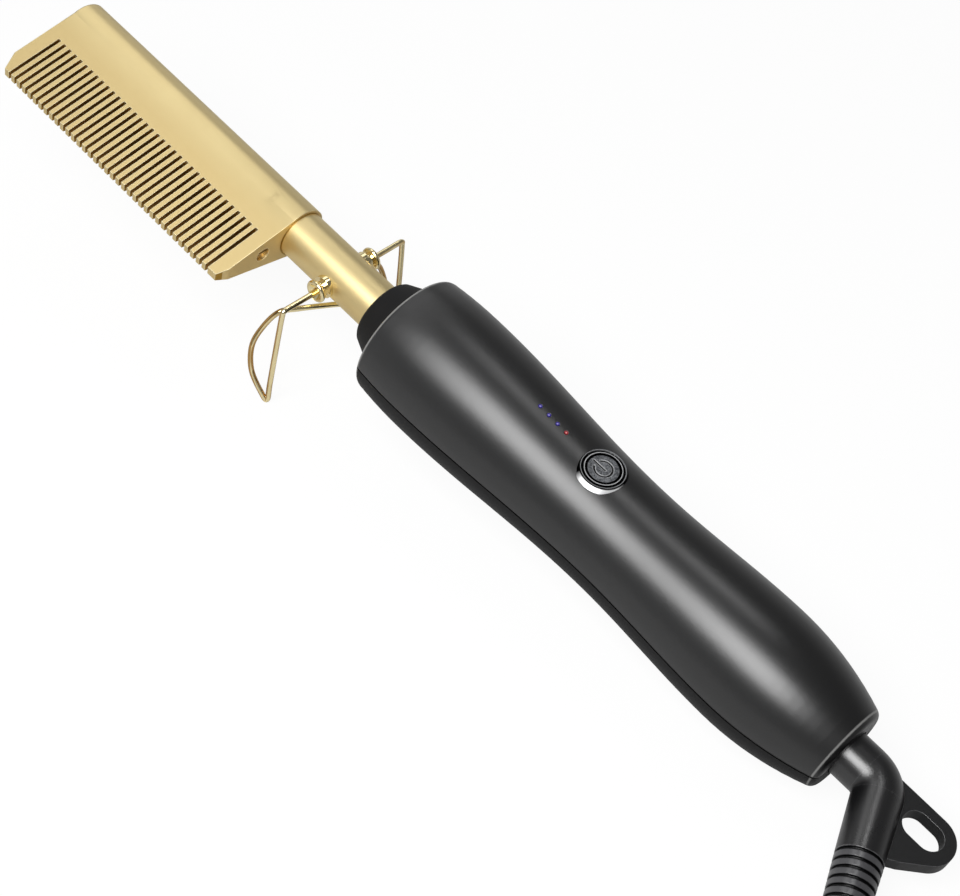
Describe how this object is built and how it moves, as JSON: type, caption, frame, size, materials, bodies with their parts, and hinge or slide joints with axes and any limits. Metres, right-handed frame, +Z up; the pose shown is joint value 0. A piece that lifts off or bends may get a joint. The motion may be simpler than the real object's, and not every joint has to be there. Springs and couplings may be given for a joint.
{
  "type": "electric hot comb",
  "caption": "Heated comb on a tube with a folding wire rest, a moulded handle with a power button and lights, and a swivelling cord elbow with a hanging tab, cord and plug.",
  "frame": {"origin": "middle of the tool's footprint on the surface that it stands on, with its wire rest open", "axes": "+X runs along the tool from the comb's tip to the cord, +Z is up, and the comb's teeth point to -Y"},
  "size_m": [0.4231, 0.1115, 0.0559],
  "materials": {
    "satin_gold": "satin, fine blasted",
    "bright_gold": "polished plate",
    "satin_black": "satin moulded",
    "elbow_black": "satin, flexible",
    "key_grey": "fine grain",
    "blue_lens": "clear tinted",
    "red_lens": "clear tinted",
    "steel": "drawn",
    "board_green": "coated laminate",
    "part_black": "moulded",
    "white_plastic": "moulded",
    "insulation": "woven sleeve",
    "wire_skin": "smooth",
    "holder_resin": "heat-proof resin",
    "copper": "bare",
    "cord_rubber": "soft matt"
  },
  "bodies": {
    "handle": {"comb_head": "satin_gold", "comb_screw": "satin_gold", "heating_cartridge": "steel", "temperature_sensor": "white_plastic", "heater_wires": "insulation", "wire_sleeve": "insulation", "tube": "satin_gold", "pivot_bushes": "bright_gold", "collar": "satin_black", "tube_holder": "holder_resin", "handle_top_shell": "satin_black", "handle_bottom_shell": "satin_black", "shell_screws": "steel", "circuit_board": "board_green", "board_screws": "steel", "board_parts": "part_black", "terminal_block": "board_green", "thermal_fuse": "steel", "supply_wires": "wire_skin", "switch_housing": "part_black", "indicator_leds": "white_plastic", "blue_light_pipes": "blue_lens", "red_light_pipe": "red_lens", "button_bezel": "satin_black", "swivel_socket": "holder_resin", "contact_rings": "copper"},
    "wire_rest": {"wire_rest": "bright_gold"},
    "button": {"button_cap": "key_grey", "switch_plunger": "white_plastic"},
    "elbow": {"cord_elbow": "elbow_black", "cord_lead": "cord_rubber", "cord_coil": "cord_rubber", "cord_tail": "cord_rubber", "plug_body": "cord_rubber", "plug_blades": "steel"}
  },
  "joints": [
    {"name": "rest_fold", "type": "hinge", "parent": "handle", "child": "wire_rest", "pos_m": [-0.0533, 0.0131, 0.03513], "axis": [0, 1, 0], "range_deg": [0, 45]},
    {"name": "button_press", "type": "slide", "parent": "handle", "child": "button", "axis": [-0.1106, 0, -0.9939], "range_m": [0, 0.0006], "stiffness_N_per_m": 1500},
    {"name": "cord_swivel", "type": "hinge", "parent": "handle", "child": "elbow", "pos_m": [0.13056, 0.0131, 0.01467], "axis": [0.9939, 0, -0.1106], "continuous": true}
  ]
}
